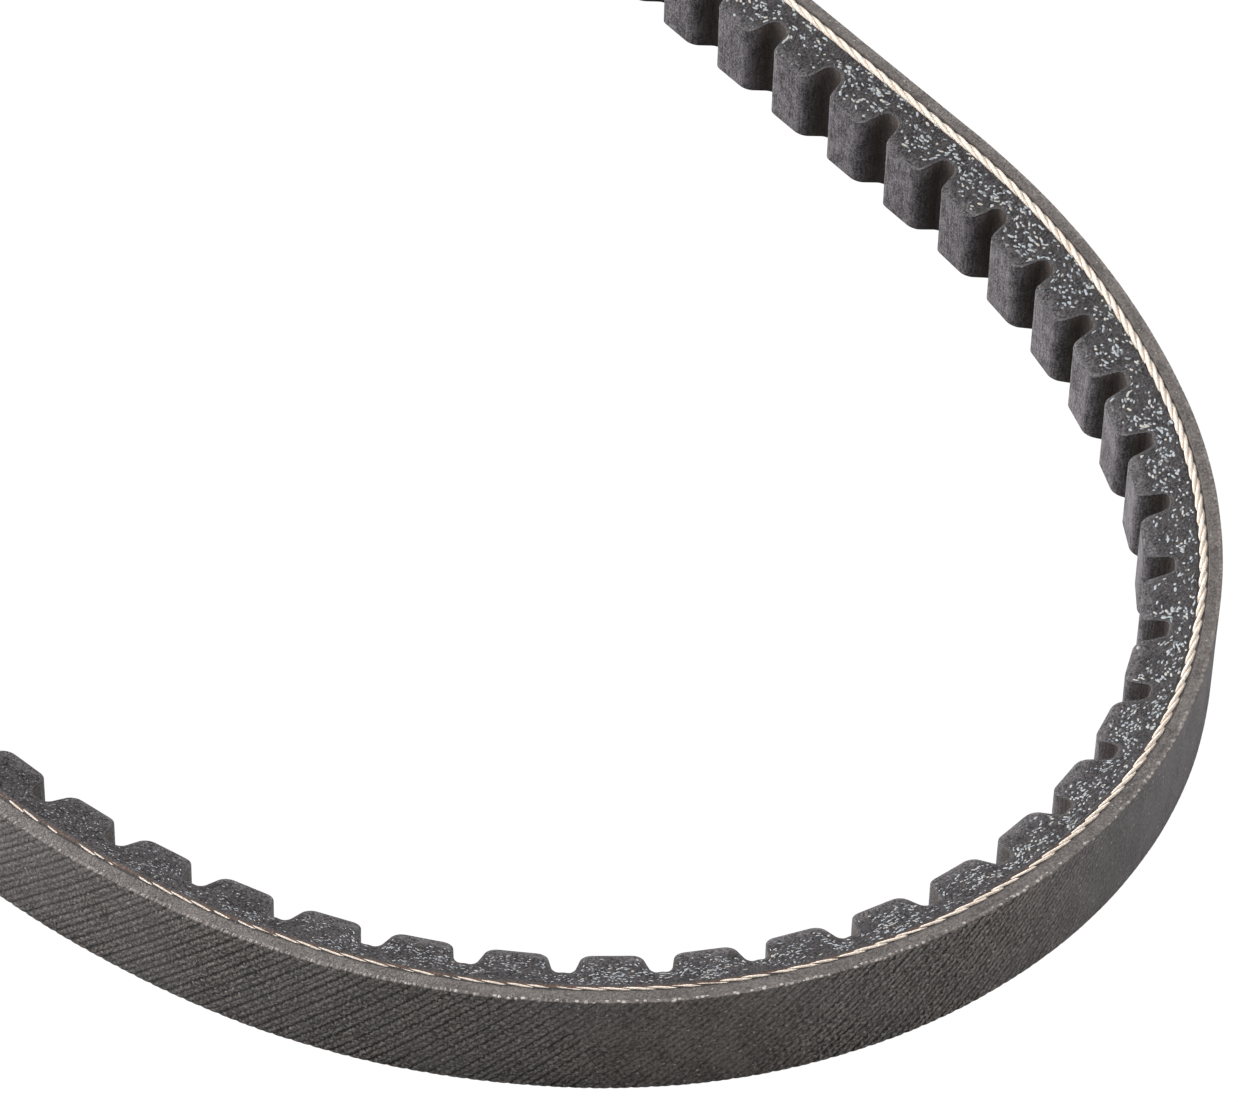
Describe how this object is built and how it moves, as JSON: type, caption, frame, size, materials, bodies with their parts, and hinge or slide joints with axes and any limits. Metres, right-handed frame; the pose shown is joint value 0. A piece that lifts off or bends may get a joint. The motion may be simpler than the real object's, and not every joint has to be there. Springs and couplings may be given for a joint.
{
  "type": "v belt",
  "caption": "Endless raw-edge V-belt with moulded cogs inside and a ribbed fabric back, lying on its side in an oval loop.",
  "frame": {"origin": "middle of the loop, on the belt's centre plane", "axes": "+Z across the belt, along the pulleys' axes; +X along the long axis of the oval loop"},
  "size_m": [0.253, 0.1342, 0.0112],
  "materials": {
    "back_fabric": "matt rubberised bias cloth with fine diagonal ribs",
    "overcord_rubber": "ground, matt, sparsely specked",
    "adhesion_gum": "matt brown gum",
    "tensile_cord": "undyed twisted polyester",
    "undercord_rubber": "ground flank with pale chopped fibre",
    "cog_cover": "moulded, matt, slightly grainy"
  },
  "bodies": {
    "root": {"back_fabric": "back_fabric", "overcord_rubber": "overcord_rubber", "upper_adhesion_gum": "adhesion_gum", "lower_adhesion_gum": "adhesion_gum", "undercord_rubber": "undercord_rubber", "cog_cover": "cog_cover", "tensile_cord_01": "tensile_cord", "tensile_cord_02": "tensile_cord", "tensile_cord_03": "tensile_cord", "tensile_cord_04": "tensile_cord", "tensile_cord_05": "tensile_cord", "tensile_cord_06": "tensile_cord", "tensile_cord_07": "tensile_cord", "tensile_cord_08": "tensile_cord", "tensile_cord_09": "tensile_cord", "tensile_cord_10": "tensile_cord", "tensile_cord_11": "tensile_cord"}
  },
  "joints": []
}
